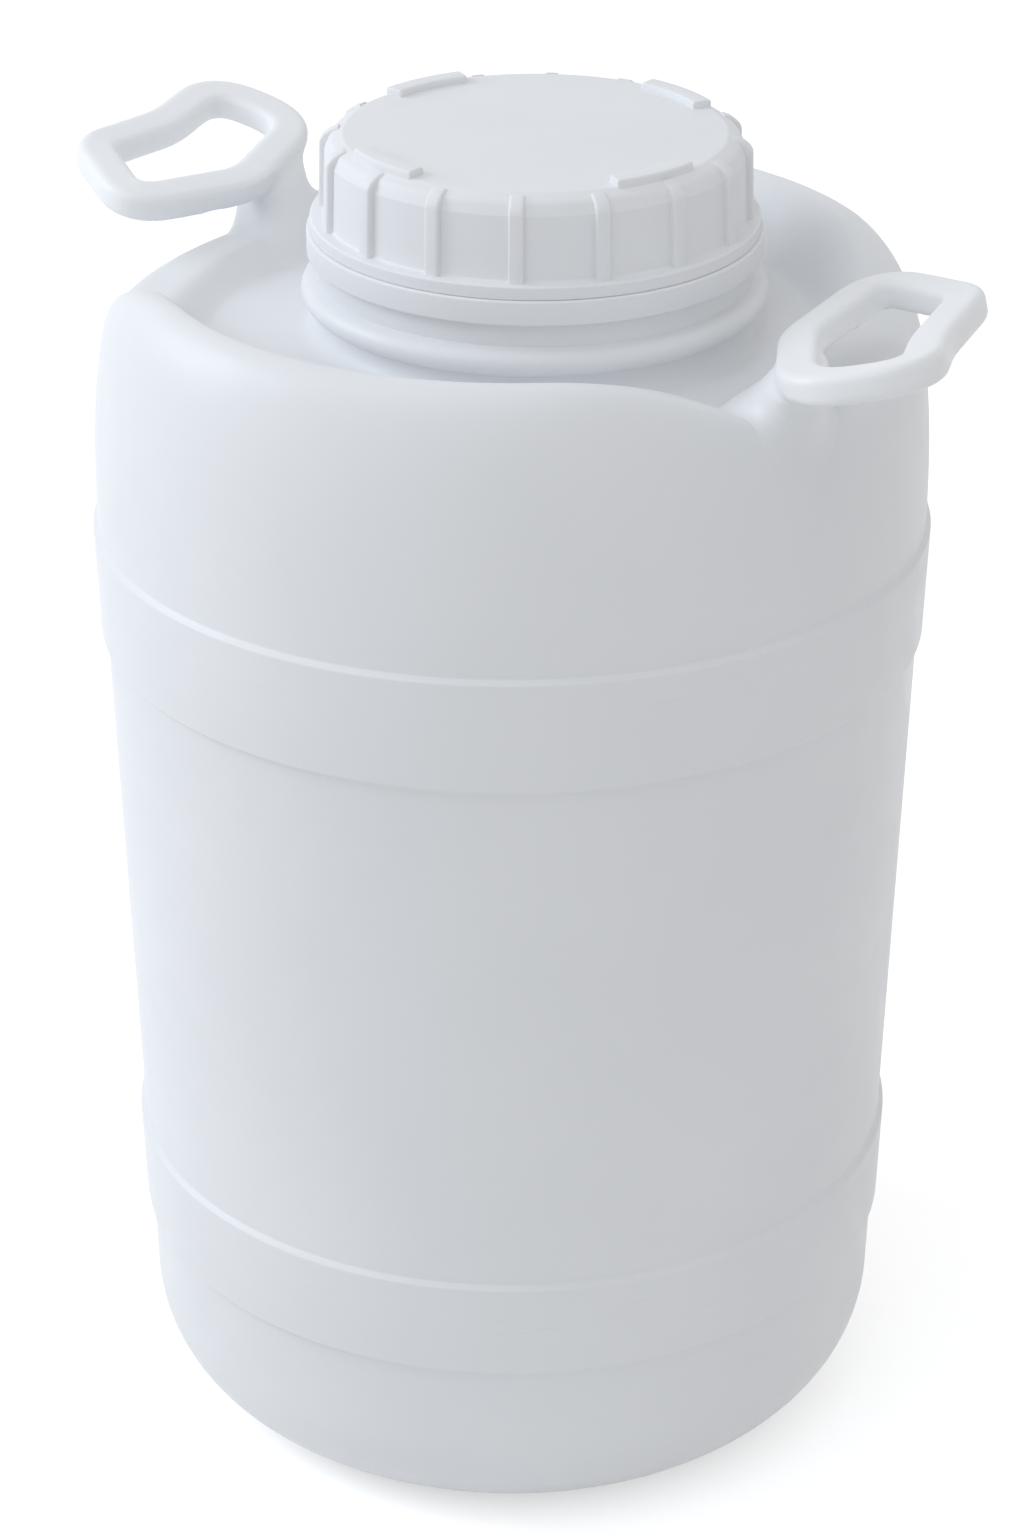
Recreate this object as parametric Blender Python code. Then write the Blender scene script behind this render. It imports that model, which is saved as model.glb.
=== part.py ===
"""Wide-neck plastic drum with two loop handles, a ribbed screw cap, its gasket and a tamper ring.

Metres, +Z up. The origin is the middle of the base, the handles lie along +X and -X.
"""
import math

import bmesh
import bpy
from mathutils import Vector

# Drum wall and base
WALL = 0.003
WALL_TOP_RADIUS = 0.1979
WALL_BOTTOM_RADIUS = 0.1855
BASE_CORNER_RADIUS = 0.059
SHOULDER_HEIGHT = 0.4877

# Rolling hoops
HOOP_PROUD = 0.0026
HOOP_STEP = 0.003
LOWER_HOOP_BOTTOM = 0.1015
LOWER_HOOP_HEIGHT = 0.0522
UPPER_HOOP_BOTTOM = 0.4187
UPPER_HOOP_HEIGHT = 0.0571

# Raised shoulder ring and the sunken floor that carries the neck
CREST_RISE = 0.1143
CREST_INSET = 0.0296
SHOULDER_FULLNESS = 2.3
RING_INNER_WIDTH = 0.028
WELL_DEPTH = 0.034

# Notches in the shoulder ring, under the free end of each loop
NOTCH_DIRECTION = math.radians(11)
NOTCH_HALF_WIDTH = 0.073
NOTCH_SIDE_SLOPE = math.radians(33)
NOTCH_FALL = math.radians(8)
NOTCH_SILL = 0.004
NOTCH_BLEND = 0.026

# Neck, measured from the sunken floor
NECK_OFFSET_X = 0.0083
NECK_OFFSET_Y = 0.0069
NECK_BORE = 0.0865
NECK_WALL = 0.0055
NECK_COLLAR_RADIUS = 0.102
NECK_COLLAR_HEIGHT = 0.0113
NECK_BEAD_RADIUS = 0.1092
NECK_BEAD_HEIGHT = 0.013
NECK_ROOT_HEIGHT = 0.012
NECK_ROOT_FILLET = 0.009
NECK_FINISH_HEIGHT = 0.048

# Tamper ring
TAMPER_HEIGHT = 0.0112
TAMPER_PROUD = 0.0017
TAMPER_EDGE = 0.003

# Gasket and screw cap
GASKET_THICKNESS = 0.0027
GASKET_OVERHANG = 0.0015
CAP_SKIRT_CLEARANCE = 0.003
CAP_SKIRT_WALL = 0.003
CAP_TOP_THICKNESS = 0.005
CAP_EDGE_RADIUS = 0.008
CAP_DRAFT = 0.001
CAP_FLANGE_PROUD = 0.0035
CAP_FLANGE_HEIGHT = 0.0062
CAP_RIB_COUNT = 16
CAP_RIB_PROUD = 0.003
CAP_RIB_WIDTH = 0.0068
CAP_RIB_FLANK = 0.0016
CAP_PHASE = math.radians(-10.25)
LUG_COUNT = 4
LUG_ARC = math.radians(25)
LUG_HEIGHT = 0.003
LUG_WIDTH = 0.0095
LUG_OVERHANG = 0.0035

# Handles: corners of the loop's centre line as (out from the wall, along the wall, above the sunken floor)
LOOP_POST_CORNER = (0.0113, -0.0607, 0.0348)
LOOP_INNER_MIDDLE = (-0.0324, 0.0015, 0.0286)
LOOP_FAR_INNER_CORNER = (-0.0398, 0.0727, 0.0343)
LOOP_FAR_OUTER_CORNER = (0.0185, 0.0579, 0.0433)
LOOP_OUTER_MIDDLE = (0.0343, 0.0052, 0.0418)
LOOP_NEAR_OUTER_CORNER = (0.0575, -0.0368, 0.0472)
LOOP_POST_CORNER_RADIUS = 0.039
LOOP_INNER_BEND_RADIUS = 0.045
LOOP_FAR_INNER_RADIUS = 0.016
LOOP_FAR_OUTER_RADIUS = 0.020
LOOP_OUTER_BEND_RADIUS = 0.090
LOOP_NEAR_OUTER_RADIUS = 0.027
LOOP_BAR_WIDTH = 0.0192
LOOP_BAR_THICKNESS = 0.0142
LOOP_BAR_ROUNDING = 0.0045
LOOP_TILT = math.radians(16)
POST_TOP_OUT = -0.006
POST_TOP_ALONG = -0.032
POST_TOP_HALF_ACROSS = 0.0095
POST_TOP_HALF_ALONG = 0.021
POST_FOOT_OUT = -0.028
POST_FOOT_ALONG = -0.013
POST_FOOT_HALF_ACROSS = 0.020
POST_FOOT_HALF_ALONG = 0.026
POST_DEPTH = 0.060
POST_TURN = math.radians(35)
LEFT_HANDLE_TURN = math.radians(166.7)
LEFT_HANDLE_SHIFT_X = -0.0112
LEFT_HANDLE_SHIFT_Y = -0.0341

# Fit and fineness
GAP = 0.0003
BODY_SEGMENTS = 60
RING_SEGMENTS = 48

# Heights and radii that follow from the sizes above
CREST_HEIGHT = SHOULDER_HEIGHT + CREST_RISE
CREST_RADIUS = WALL_TOP_RADIUS - CREST_INSET
WELL_HEIGHT = CREST_HEIGHT - WELL_DEPTH
WELL_RADIUS = CREST_RADIUS - RING_INNER_WIDTH
NECK_RADIUS = NECK_BORE + NECK_WALL
BEAD_BOTTOM = WELL_HEIGHT + NECK_ROOT_HEIGHT
BEAD_TOP = BEAD_BOTTOM + NECK_BEAD_HEIGHT
COLLAR_TOP = BEAD_TOP + NECK_COLLAR_HEIGHT
RIM_HEIGHT = COLLAR_TOP + NECK_FINISH_HEIGHT
TAMPER_BOTTOM = COLLAR_TOP + GAP
TAMPER_TOP = TAMPER_BOTTOM + TAMPER_HEIGHT
CAP_BOTTOM = TAMPER_TOP + GAP
GASKET_BOTTOM = RIM_HEIGHT + GAP
GASKET_TOP = GASKET_BOTTOM + GASKET_THICKNESS
CAP_INNER_TOP = GASKET_TOP + GAP
CAP_TOP = CAP_INNER_TOP + CAP_TOP_THICKNESS
CAP_INNER_RADIUS = NECK_RADIUS + CAP_SKIRT_CLEARANCE
CAP_PANEL_RADIUS = CAP_INNER_RADIUS + CAP_SKIRT_WALL
CAP_RIB_RADIUS = CAP_PANEL_RADIUS + CAP_RIB_PROUD
CAP_DISC_RADIUS = CAP_PANEL_RADIUS - CAP_DRAFT - CAP_EDGE_RADIUS
CAP_FLANGE_RADIUS = CAP_RIB_RADIUS + CAP_FLANGE_PROUD
TAMPER_RADIUS = CAP_FLANGE_RADIUS + TAMPER_PROUD
NECK_AXIS = Vector((NECK_OFFSET_X, NECK_OFFSET_Y, 0.0))


def clear_scene():
    for old in list(bpy.data.objects):
        bpy.data.objects.remove(old, do_unlink=True)


def plastic(name, colour, roughness):
    material = bpy.data.materials.new(name)
    material.use_nodes = True
    shader = material.node_tree.nodes["Principled BSDF"]
    shader.inputs["Base Color"].default_value = (*colour, 1.0)
    shader.inputs["Roughness"].default_value = roughness
    shader.inputs["Metallic"].default_value = 0.0
    return material


def add_object(name, mesh, material=None, smooth_angle=35.0):
    mesh.shade_smooth()
    mesh.set_sharp_from_angle(angle=math.radians(smooth_angle))
    made = bpy.data.objects.new(name, mesh)
    bpy.context.scene.collection.objects.link(made)
    if material is not None:
        made.data.materials.append(material)
    return made


def hide_cutter(cutter):
    cutter.hide_render = True
    cutter.display_type = "WIRE"


def add_boolean(target, cutter, operation):
    step = target.modifiers.new(operation.title() + " " + cutter.name, "BOOLEAN")
    step.object = cutter
    step.operation = operation
    step.solver = "EXACT"


def skin(name, rings, closed=False):
    """Join rings of points into one closed mesh. A ring of one point is a pole."""
    mesh_maker = bmesh.new()
    rows = [[mesh_maker.verts.new(point) for point in ring] for ring in rings]
    pairs = list(zip(rows, rows[1:]))
    if closed:
        pairs.append((rows[-1], rows[0]))
    for first, second in pairs:
        count = max(len(first), len(second))
        for k in range(count):
            n = (k + 1) % count
            if len(first) == 1:
                mesh_maker.faces.new((first[0], second[k], second[n]))
            elif len(second) == 1:
                mesh_maker.faces.new((first[k], second[0], first[n]))
            else:
                mesh_maker.faces.new((first[k], second[k], second[n]))
                mesh_maker.faces.new((first[k], second[n], first[n]))
    bmesh.ops.recalc_face_normals(mesh_maker, faces=mesh_maker.faces)
    mesh = bpy.data.meshes.new(name)
    mesh_maker.to_mesh(mesh)
    mesh_maker.free()
    return mesh


def circle_angles(count):
    return [2.0 * math.pi * k / count for k in range(count)]


def turned(name, profile, axis, count):
    """Turn a closed section of (radius, height) points about a vertical axis."""
    rings = []
    for radius, height in profile:
        ring = [axis + Vector((radius * math.cos(a), radius * math.sin(a), height))
                for a in circle_angles(count)]
        rings.append(ring)
    return skin(name, rings, closed=True)


def smooth_step(value):
    value = min(max(value, 0.0), 1.0)
    return value * value * (3.0 - 2.0 * value)


def smooth_min(a, b, blend):
    share = max(blend - abs(a - b), 0.0) / blend
    return min(a, b) - share * share * blend * 0.25


def wall_radius(height):
    share = (height - BASE_CORNER_RADIUS) / (SHOULDER_HEIGHT - BASE_CORNER_RADIUS)
    return WALL_BOTTOM_RADIUS + (WALL_TOP_RADIUS - WALL_BOTTOM_RADIUS) * share


def notch_height(x, y):
    """Height of the notch surfaces over a point. High above the drum outside the notches."""
    lowest = CREST_HEIGHT + 1.0
    for turn in (0.0, math.pi):
        direction = NOTCH_DIRECTION + turn
        out = x * math.cos(direction) + y * math.sin(direction)
        side = abs(y * math.cos(direction) - x * math.sin(direction))
        if out > 0.0:
            floor = WELL_HEIGHT + NOTCH_SILL - math.tan(NOTCH_FALL) * (out - CREST_RADIUS)
            rise = max(side - NOTCH_HALF_WIDTH, 0.0) * math.tan(NOTCH_SIDE_SLOPE)
            lowest = min(lowest, floor + rise)
    return lowest


def outer_wall_profile():
    """Base, corner, tapered wall and the two hoops, from the base up, as (radius, height)."""
    flat = WALL_BOTTOM_RADIUS - BASE_CORNER_RADIUS
    points = [(flat * 0.5, 0.0)]
    corner_steps = 6
    for k in range(corner_steps + 1):
        a = 0.5 * math.pi * k / corner_steps
        points.append((flat + BASE_CORNER_RADIUS * math.sin(a), BASE_CORNER_RADIUS * (1.0 - math.cos(a))))
    hoops = ((LOWER_HOOP_BOTTOM, LOWER_HOOP_HEIGHT), (UPPER_HOOP_BOTTOM, UPPER_HOOP_HEIGHT))
    for bottom, height in hoops:
        top = bottom + height
        points.append((wall_radius(bottom), bottom))
        points.append((wall_radius(bottom) + HOOP_PROUD, bottom + HOOP_STEP))
        points.append((wall_radius(top) + HOOP_PROUD, top - HOOP_STEP))
        points.append((wall_radius(top), top))
    return points


def shoulder_profile():
    """Full rounded rise to the crest, then the inner slope down to the sunken floor."""
    points = []
    rise_steps = 9
    for k in range(rise_steps + 1):
        a = 0.5 * math.pi * k / rise_steps
        radius = CREST_RADIUS + CREST_INSET * max(math.cos(a), 0.0) ** (2.0 / SHOULDER_FULLNESS)
        points.append((radius, SHOULDER_HEIGHT + CREST_RISE * math.sin(a) ** (2.0 / SHOULDER_FULLNESS)))
    slope_steps = 5
    for k in range(1, slope_steps + 1):
        share = k / slope_steps
        radius = CREST_RADIUS - RING_INNER_WIDTH * share
        points.append((radius, CREST_HEIGHT - WELL_DEPTH * smooth_step(share)))
    return points


def neck_profile():
    """Root fillet, bead, collar and thread cylinder, from the floor up to the rim."""
    points = []
    fillet_steps = 3
    root = NECK_COLLAR_RADIUS + NECK_ROOT_FILLET
    for k in range(fillet_steps + 1):
        a = 0.5 * math.pi * k / fillet_steps
        radius = root - NECK_ROOT_FILLET * math.sin(a)
        points.append((radius, WELL_HEIGHT + NECK_ROOT_FILLET * (1.0 - math.cos(a))))
    bead_steps = 4
    for k in range(bead_steps + 1):
        a = math.pi * k / bead_steps
        radius = NECK_COLLAR_RADIUS + (NECK_BEAD_RADIUS - NECK_COLLAR_RADIUS) * math.sin(a)
        points.append((radius, BEAD_BOTTOM + 0.5 * NECK_BEAD_HEIGHT * (1.0 - math.cos(a))))
    points.append((NECK_COLLAR_RADIUS, COLLAR_TOP))
    points.append((NECK_RADIUS, COLLAR_TOP))
    points.append((NECK_RADIUS, RIM_HEIGHT))
    points.append((NECK_BORE, RIM_HEIGHT))
    return points


def drum_ring(radius, height):
    """One ring of the drum about its own axis, lowered where the notches cut the shoulder."""
    ring = []
    for a in circle_angles(BODY_SEGMENTS):
        x = radius * math.cos(a)
        y = radius * math.sin(a)
        level = height
        if height > SHOULDER_HEIGHT:
            level = smooth_min(height, notch_height(x, y), NOTCH_BLEND)
        ring.append(Vector((x, y, level)))
    return ring


def neck_ring(radius, height):
    ring = []
    for a in circle_angles(BODY_SEGMENTS):
        ring.append(NECK_AXIS + Vector((radius * math.cos(a), radius * math.sin(a), height)))
    return ring


def pushed_in(rings, depth):
    """Rings moved inward along the profile's own normals. A negative depth moves them outward."""
    moved = []
    last = len(rings) - 1
    for k, ring in enumerate(rings):
        before = rings[max(k - 1, 0)]
        after = rings[min(k + 1, last)]
        new_ring = []
        for j, point in enumerate(ring):
            outward = Vector((point.x, point.y, 0.0)).normalized()
            run = after[j] - before[j]
            run_out = run.dot(outward)
            length = math.hypot(run_out, run.z)
            normal = outward * (run.z / length) - Vector((0.0, 0.0, run_out / length))
            new_ring.append(point - normal * depth)
        moved.append(new_ring)
    return moved


def make_drum(material):
    lower = [drum_ring(r, z) for r, z in outer_wall_profile()]
    shoulder = [drum_ring(r, z) for r, z in shoulder_profile()]
    neck = [neck_ring(r, z) for r, z in neck_profile()]
    neck_waist = NECK_COLLAR_RADIUS - NECK_WALL
    bore = [
        neck_ring(NECK_BORE, COLLAR_TOP),
        neck_ring(neck_waist, COLLAR_TOP - 2.0 * NECK_WALL),
        neck_ring(neck_waist, WELL_HEIGHT),
        neck_ring(neck_waist + NECK_ROOT_FILLET, WELL_HEIGHT - WALL),
    ]
    shoulder_inside = list(reversed(pushed_in(shoulder, WALL)))
    inside_wall = []
    corner = BASE_CORNER_RADIUS - WALL
    flat = WALL_BOTTOM_RADIUS - BASE_CORNER_RADIUS
    corner_steps = 4
    for k in range(corner_steps, -1, -1):
        a = 0.5 * math.pi * k / corner_steps
        inside_wall.append(drum_ring(flat + corner * math.sin(a), BASE_CORNER_RADIUS - corner * math.cos(a)))
    bottom = [Vector((0.0, 0.0, 0.0))]
    bottom_inside = [Vector((0.0, 0.0, WALL))]
    rings = [bottom] + lower + shoulder + neck + bore + shoulder_inside + inside_wall + [bottom_inside]
    return add_object("drum_body", skin("drum_body", rings), material)


def make_drum_cutter():
    """The drum's outside, one gap larger, which trims the feet of the handles to their seat."""
    upper_profile = outer_wall_profile()[-2:] + shoulder_profile()
    rings = pushed_in([drum_ring(r, z) for r, z in upper_profile], -GAP)
    low_centre = [Vector((0.0, 0.0, rings[0][0].z))]
    floor_centre = [Vector((0.0, 0.0, WELL_HEIGHT + GAP))]
    cutter = add_object("drum_outside", skin("drum_outside", [low_centre] + rings + [floor_centre]))
    hide_cutter(cutter)
    return cutter


def make_tamper_ring(material):
    inner = NECK_RADIUS + CAP_SKIRT_CLEARANCE * 0.5
    section = [
        (TAMPER_RADIUS - TAMPER_EDGE, TAMPER_TOP),
        (TAMPER_RADIUS - 0.3 * TAMPER_EDGE, TAMPER_TOP - 0.3 * TAMPER_EDGE),
        (TAMPER_RADIUS, TAMPER_TOP - TAMPER_EDGE),
        (TAMPER_RADIUS, TAMPER_BOTTOM),
        (inner, TAMPER_BOTTOM),
        (inner, TAMPER_TOP),
    ]
    return add_object("tamper_ring", turned("tamper_ring", section, NECK_AXIS, RING_SEGMENTS), material)


def make_gasket(material):
    section = [
        (NECK_RADIUS + GASKET_OVERHANG, GASKET_TOP),
        (NECK_RADIUS + GASKET_OVERHANG, GASKET_BOTTOM),
        (NECK_BORE - GASKET_OVERHANG, GASKET_BOTTOM),
        (NECK_BORE - GASKET_OVERHANG, GASKET_TOP),
    ]
    return add_object("cap_gasket", turned("cap_gasket", section, NECK_AXIS, RING_SEGMENTS), material)


def cap_angles():
    """Angles round the cap, with True where the angle lies on a rib."""
    angles = []
    pitch = 2.0 * math.pi / CAP_RIB_COUNT
    half = 0.5 * CAP_RIB_WIDTH / CAP_RIB_RADIUS
    flank = CAP_RIB_FLANK / CAP_RIB_RADIUS
    panel = pitch - 2.0 * (half + flank)
    for k in range(CAP_RIB_COUNT):
        middle = CAP_PHASE + k * pitch
        angles.append((middle - half, True))
        angles.append((middle + half, True))
        angles.append((middle + half + flank, False))
        angles.append((middle + half + flank + panel / 3.0, False))
        angles.append((middle + half + flank + panel * 2.0 / 3.0, False))
        angles.append((middle + half + flank + panel, False))
    return angles


def cap_ring(radius, height, panel_radius=None):
    ring = []
    for a, on_rib in cap_angles():
        reach = radius
        if panel_radius is not None and not on_rib:
            reach = panel_radius
        ring.append(Vector((reach * math.cos(a), reach * math.sin(a), height)))
    return ring


def cap_lug(index):
    """A raised arc on the cap's rim, sunk into the top so that it fuses with it."""
    middle = CAP_PHASE + 2.0 * math.pi * index / LUG_COUNT
    outer = CAP_DISC_RADIUS + LUG_OVERHANG
    inner = outer - LUG_WIDTH
    low = CAP_TOP - 0.8 * CAP_TOP_THICKNESS
    high = CAP_TOP + LUG_HEIGHT
    edge = 0.3 * LUG_HEIGHT
    section = [
        (inner, low),
        (outer, low),
        (outer, high - edge),
        (outer - edge, high),
        (inner + edge, high),
        (inner, high - edge),
    ]
    rings = []
    steps = 6
    for k in range(steps + 1):
        a = middle + LUG_ARC * (k / steps - 0.5)
        rings.append([Vector((r * math.cos(a), r * math.sin(a), z)) for r, z in section])
    first = sum(rings[0], Vector()) / len(section)
    last = sum(rings[-1], Vector()) / len(section)
    lug = add_object("cap_lug_%d" % index, skin("cap_lug", [[first]] + rings + [[last]]))
    hide_cutter(lug)
    return lug


def make_cap(material):
    rings = [[Vector((0.0, 0.0, CAP_TOP))], cap_ring(CAP_DISC_RADIUS, CAP_TOP)]
    edge_steps = 3
    for k in range(1, edge_steps + 1):
        a = 0.5 * math.pi * k / edge_steps
        panel = CAP_DISC_RADIUS + CAP_EDGE_RADIUS * math.sin(a)
        rib = panel + CAP_RIB_PROUD * math.sin(a)
        rings.append(cap_ring(rib, CAP_TOP - CAP_EDGE_RADIUS * (1.0 - math.cos(a)), panel))
    flange_top = CAP_BOTTOM + CAP_FLANGE_HEIGHT
    rings.append(cap_ring(CAP_RIB_RADIUS, flange_top, CAP_PANEL_RADIUS))
    rings.append(cap_ring(CAP_FLANGE_RADIUS, flange_top))
    rings.append(cap_ring(CAP_FLANGE_RADIUS, CAP_BOTTOM))
    rings.append(cap_ring(CAP_INNER_RADIUS, CAP_BOTTOM))
    rings.append(cap_ring(CAP_INNER_RADIUS, CAP_INNER_TOP))
    rings.append([Vector((0.0, 0.0, CAP_INNER_TOP))])
    cap = add_object("screw_cap", skin("screw_cap", rings), material)
    cap.location = NECK_AXIS
    for index in range(LUG_COUNT):
        lug = cap_lug(index)
        lug.location = NECK_AXIS
        add_boolean(cap, lug, "UNION")
    return cap


def loop_path():
    """The loop's centre line for the handle on +X, as points on softly bent corners."""
    corners = (
        (LOOP_POST_CORNER, LOOP_POST_CORNER_RADIUS),
        (LOOP_INNER_MIDDLE, LOOP_INNER_BEND_RADIUS),
        (LOOP_FAR_INNER_CORNER, LOOP_FAR_INNER_RADIUS),
        (LOOP_FAR_OUTER_CORNER, LOOP_FAR_OUTER_RADIUS),
        (LOOP_OUTER_MIDDLE, LOOP_OUTER_BEND_RADIUS),
        (LOOP_NEAR_OUTER_CORNER, LOOP_NEAR_OUTER_RADIUS),
    )
    origin = Vector((WALL_TOP_RADIUS, 0.0, WELL_HEIGHT))
    places = [origin + Vector(corner) for corner, radius in corners]
    points = []
    steps = 5
    for k, (corner, radius) in enumerate(corners):
        here = places[k]
        before = places[k - 1] - here
        after = places[(k + 1) % len(places)] - here
        half_angle = 0.5 * before.angle(after)
        reach = min(radius / math.tan(half_angle), 0.49 * before.length, 0.49 * after.length)
        start = here + before.normalized() * reach
        end = here + after.normalized() * reach
        for j in range(steps + 1):
            share = j / steps
            points.append(start.lerp(here, share).lerp(here.lerp(end, share), share))
    return points


def bar_section():
    """A rounded bar section as (across, up) points."""
    wide = 0.5 * LOOP_BAR_WIDTH - LOOP_BAR_ROUNDING
    tall = 0.5 * LOOP_BAR_THICKNESS - LOOP_BAR_ROUNDING
    points = []
    for k, (sx, sz) in enumerate(((1, 1), (-1, 1), (-1, -1), (1, -1))):
        for j in range(3):
            a = 0.5 * math.pi * (k + j / 2.0)
            points.append((sx * wide + LOOP_BAR_ROUNDING * math.cos(a),
                           sz * tall + LOOP_BAR_ROUNDING * math.sin(a)))
    return points


def loop_rings():
    path = loop_path()
    level = Vector((-math.sin(LOOP_TILT), 0.0, math.cos(LOOP_TILT)))
    rings = []
    for k, point in enumerate(path):
        ahead = (path[(k + 1) % len(path)] - path[k - 1]).normalized()
        across = ahead.cross(level).normalized()
        up = across.cross(ahead)
        rings.append([point + across * a + up * b for a, b in bar_section()])
    return rings


def between(foot, top, share):
    return foot + (top - foot) * share


def post_rings():
    """The post from below its seat up into the loop's corner, wider and further in at the foot."""
    top = WELL_HEIGHT + LOOP_POST_CORNER[2]
    across = Vector((math.cos(POST_TURN), math.sin(POST_TURN), 0.0))
    along = Vector((-math.sin(POST_TURN), math.cos(POST_TURN), 0.0))
    steps = 8
    count = 20
    rings = []
    for k in range(steps + 1):
        share = k / steps
        narrowing = share ** 2
        middle = Vector((WALL_TOP_RADIUS + between(POST_FOOT_OUT, POST_TOP_OUT, share),
                         between(POST_FOOT_ALONG, POST_TOP_ALONG, share),
                         top - POST_DEPTH * (1.0 - share)))
        half_across = between(POST_FOOT_HALF_ACROSS, POST_TOP_HALF_ACROSS, narrowing)
        half_along = between(POST_FOOT_HALF_ALONG, POST_TOP_HALF_ALONG, narrowing)
        ring = []
        for a in circle_angles(count):
            c = math.copysign(abs(math.cos(a)) ** 0.75, math.cos(a))
            s = math.copysign(abs(math.sin(a)) ** 0.75, math.sin(a))
            ring.append(middle + across * (half_across * c) + along * (half_along * s))
        rings.append(ring)
    low = [sum(rings[0], Vector()) / count]
    high = [sum(rings[-1], Vector()) / count]
    return [low] + rings + [high]


def make_handle(name, turn, shift, material, drum_outside):
    handle = add_object(name, skin(name, loop_rings(), closed=True), material)
    post = add_object(name + "_post", skin(name + "_post", post_rings()))
    hide_cutter(post)
    for piece in (handle, post):
        piece.rotation_euler = (0.0, 0.0, turn)
        piece.location = shift
    add_boolean(handle, post, "UNION")
    add_boolean(handle, drum_outside, "DIFFERENCE")
    return handle


def make_all():
    clear_scene()
    shell = plastic("white_shell", (0.80, 0.81, 0.82), 0.42)
    handle_plastic = plastic("white_handle", (0.80, 0.81, 0.82), 0.38)
    cap_plastic = plastic("white_cap", (0.82, 0.83, 0.84), 0.36)
    ring_plastic = plastic("white_ring", (0.82, 0.83, 0.84), 0.36)
    rubber = plastic("grey_gasket", (0.35, 0.36, 0.37), 0.65)
    make_drum(shell)
    drum_outside = make_drum_cutter()
    make_handle("right_handle", 0.0, (0.0, 0.0, 0.0), handle_plastic, drum_outside)
    left_shift = (LEFT_HANDLE_SHIFT_X, LEFT_HANDLE_SHIFT_Y, 0.0)
    make_handle("left_handle", LEFT_HANDLE_TURN, left_shift, handle_plastic, drum_outside)
    make_tamper_ring(ring_plastic)
    make_gasket(rubber)
    make_cap(cap_plastic)


make_all()
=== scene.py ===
"""Looks of a white wide-neck plastic drum: blown skin, loop handles, ribbed cap, tamper ring and gasket."""
import math

import bmesh
import bpy
from mathutils import Matrix, Vector


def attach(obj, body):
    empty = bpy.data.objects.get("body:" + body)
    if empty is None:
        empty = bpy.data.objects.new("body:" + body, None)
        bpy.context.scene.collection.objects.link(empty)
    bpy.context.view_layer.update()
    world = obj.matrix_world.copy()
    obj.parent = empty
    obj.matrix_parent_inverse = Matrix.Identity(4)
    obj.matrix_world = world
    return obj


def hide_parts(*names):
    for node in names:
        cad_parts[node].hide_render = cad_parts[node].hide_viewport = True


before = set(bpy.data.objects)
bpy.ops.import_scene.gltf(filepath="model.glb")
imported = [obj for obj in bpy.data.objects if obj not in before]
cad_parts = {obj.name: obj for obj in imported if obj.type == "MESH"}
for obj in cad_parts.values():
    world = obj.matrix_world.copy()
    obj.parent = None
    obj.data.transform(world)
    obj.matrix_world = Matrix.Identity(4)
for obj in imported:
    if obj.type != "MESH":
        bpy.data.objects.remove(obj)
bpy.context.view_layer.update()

# Drum wall, hoops and shoulder, in metres
WALL = 0.003
WALL_TOP_RADIUS = 0.1979
WALL_BOTTOM_RADIUS = 0.1855
BASE_CORNER_RADIUS = 0.059
BASE_RING_SHARE = 0.6
SHOULDER_HEIGHT = 0.4877
SHOULDER_LEAD = 0.006
HOOP_PROUD = 0.0026
HOOP_STEP = 0.0022
HOOP_ROUNDING = 0.0012
HOOPS = ((0.1015, 0.1537), (0.4187, 0.4758))
CREST_RADIUS = 0.1683
CREST_HEIGHT = 0.602
SHOULDER_FULLNESS = 2.3
RING_INNER_WIDTH = 0.028
WELL_HEIGHT = 0.568

# Notches in the shoulder ring
NOTCH_DIRECTION = math.radians(11)
NOTCH_HALF_WIDTH = 0.073
NOTCH_SIDE_SLOPE = math.radians(33)
NOTCH_FALL = math.radians(8)
NOTCH_SILL = 0.004
NOTCH_BLEND = 0.026
NOTCH_CORNER = 0.014

# Neck and closure
NECK_AXIS = Vector((0.0083, 0.0069, 0.0))
NECK_BORE = 0.0865
NECK_RADIUS = 0.092
NECK_COLLAR_RADIUS = 0.102
NECK_BEAD_RADIUS = 0.1092
NECK_WALL = 0.0055
NECK_ROOT_REACH = 0.016
NECK_ROOT_DRAFT = 0.001
NECK_ROOT_FILLET = 0.009
NECK_UNDER_ROUNDING = 0.006
BEAD_BOTTOM = 0.580
BEAD_TOP = 0.593
BEAD_LOW_EDGE = 0.0005
BEAD_HIGH_EDGE = 0.0006
COLLAR_TOP = 0.6043
COLLAR_ROUNDING = 0.0008
BORE_SHELF_DROP = 0.011
BORE_ROUNDING = 0.003
RIM_HEIGHT = 0.6523
RIM_OUTER_ROUNDING = 0.0012
RIM_INNER_ROUNDING = 0.0015
THREAD_PITCH = 0.011
THREAD_WIDTH = 0.0036
THREAD_PROUD = 0.0013
THREAD_ROOT = 0.001
THREAD_ROUNDING = 0.0006
THREAD_TURNS = 2.0
THREAD_BELOW_RIM = 0.006
THREAD_ABOVE_LIP = 0.004
TAMPER_BOTTOM = 0.6046
TAMPER_TOP = 0.6160
TAMPER_RADIUS = 0.1062
TAMPER_INNER_RADIUS = 0.0935
TAMPER_ROUNDING = 0.0008
TAMPER_TOP_ROUNDING = 0.0009
CAP_BOTTOM = 0.6161
CAP_FLANGE_TOP = 0.6223
CAP_FLANGE_RADIUS = 0.1045
CAP_FLANGE_ROUNDING = 0.001
CAP_LIP_ROUNDING = 0.0006
CAP_PANEL_RADIUS = 0.098
CAP_RIB_PROUD = 0.003
CAP_RIB_WIDTH = 0.0068
CAP_RIB_DEPTH = 0.007
CAP_RIB_ROUNDING = 0.0012
CAP_RIB_ROOT = 0.001
CAP_RIB_BEND = math.radians(76)
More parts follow.
